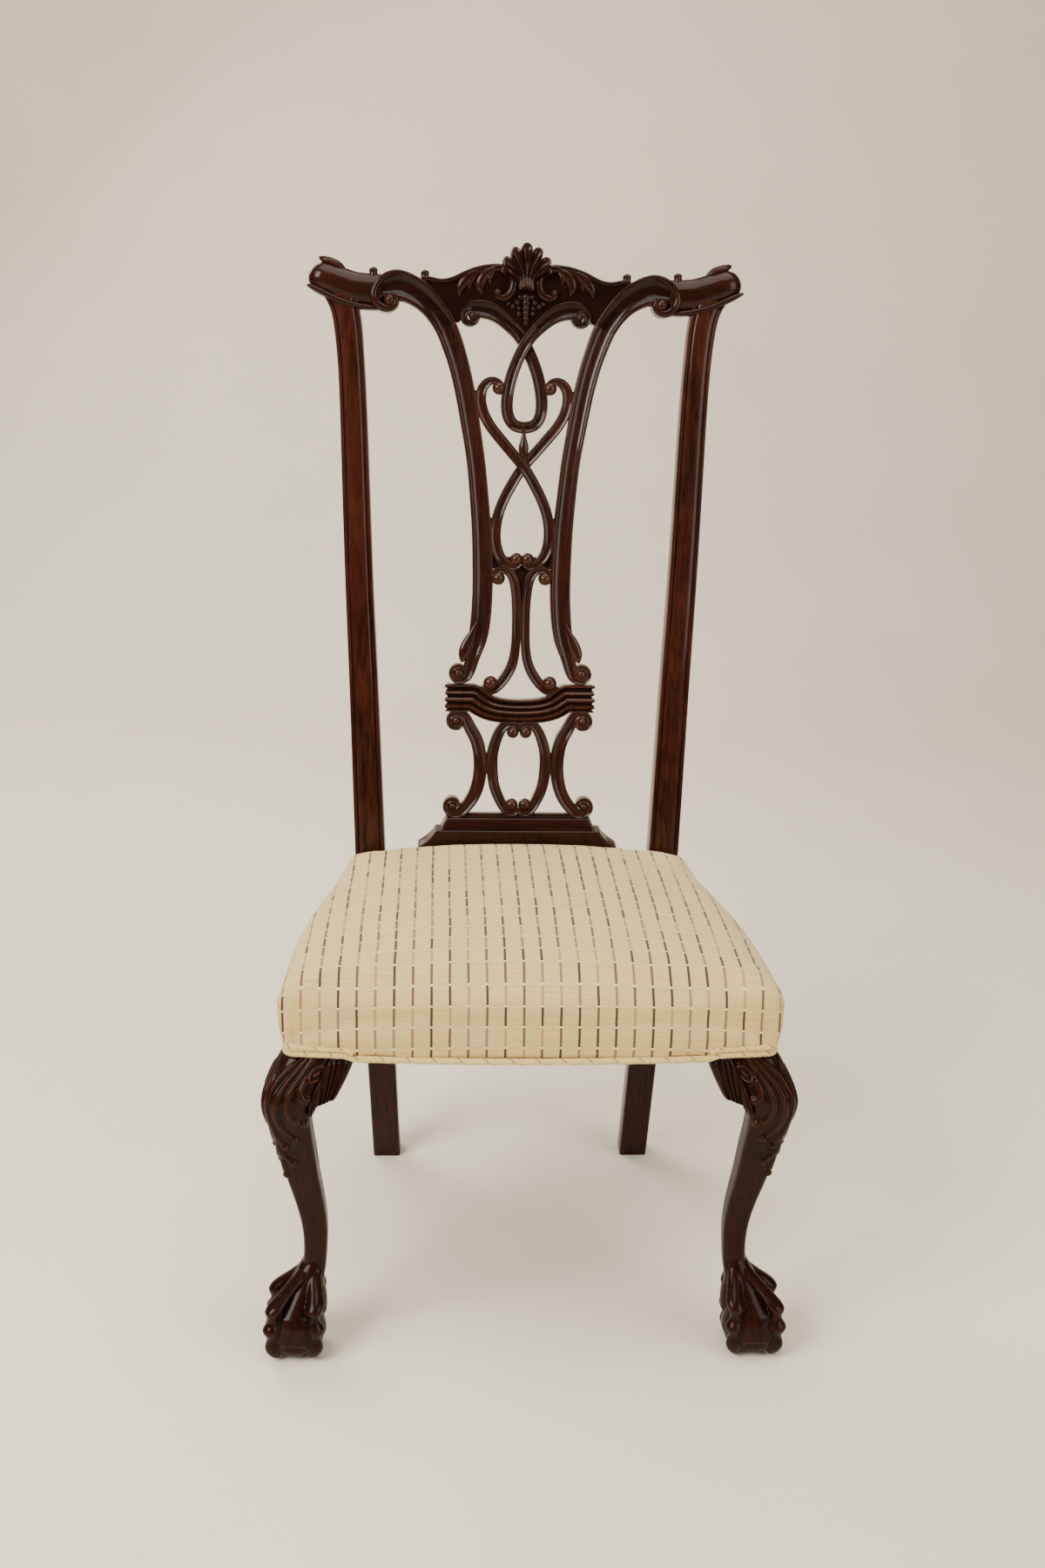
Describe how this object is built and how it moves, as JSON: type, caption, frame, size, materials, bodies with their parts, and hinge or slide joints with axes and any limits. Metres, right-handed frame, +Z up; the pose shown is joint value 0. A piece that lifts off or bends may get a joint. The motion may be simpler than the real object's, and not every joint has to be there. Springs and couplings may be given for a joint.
{
  "type": "side chair",
  "caption": "Carved mahogany side chair with a pierced scrolled back, cabriole front legs on claw-and-ball feet and a striped seat upholstered over the rails.",
  "frame": {"origin": "on the floor under the middle of the chair's overall box", "axes": "+Z up, +Y towards the back, +X to the right as seen from the front"},
  "size_m": [0.5654, 0.542, 1.1672],
  "materials": {
    "carved_wood": "dark mahogany, satin polish",
    "frame_wood": "planed, unfinished",
    "seat_fabric": "woven, straw ground with dashed stripes",
    "welt_fabric": "bias-cut seat cloth over cord",
    "stuffing": "fibre stuffing",
    "webbing": "woven jute",
    "hessian": "coarse weave",
    "dust_cloth": "thin black cloth",
    "steel": "plain"
  },
  "bodies": {
    "root": {"rear_post_left": "carved_wood", "rear_post_right": "carved_wood", "crest_rail": "carved_wood", "back_splat": "carved_wood", "splat_shoe": "carved_wood", "front_leg_left": "carved_wood", "front_leg_right": "carved_wood", "knee_bracket_front_left": "carved_wood", "knee_bracket_front_right": "carved_wood", "knee_bracket_side_left": "carved_wood", "knee_bracket_side_right": "carved_wood", "rear_seat_rail": "carved_wood", "front_seat_rail": "frame_wood", "side_seat_rail_left": "frame_wood", "side_seat_rail_right": "frame_wood", "corner_block_front_left": "frame_wood", "corner_block_front_right": "frame_wood", "corner_block_rear_left": "frame_wood", "corner_block_rear_right": "frame_wood", "corner_block_screws": "steel", "shoe_nails": "steel", "webbing_tacks": "steel", "dust_cover_tacks": "steel", "seat_cover": "seat_fabric", "seat_welt": "welt_fabric", "seat_pad": "stuffing", "webbing_lengthwise": "webbing", "webbing_crosswise": "webbing", "hessian_sheet": "hessian", "dust_cover": "dust_cloth"}
  },
  "joints": []
}
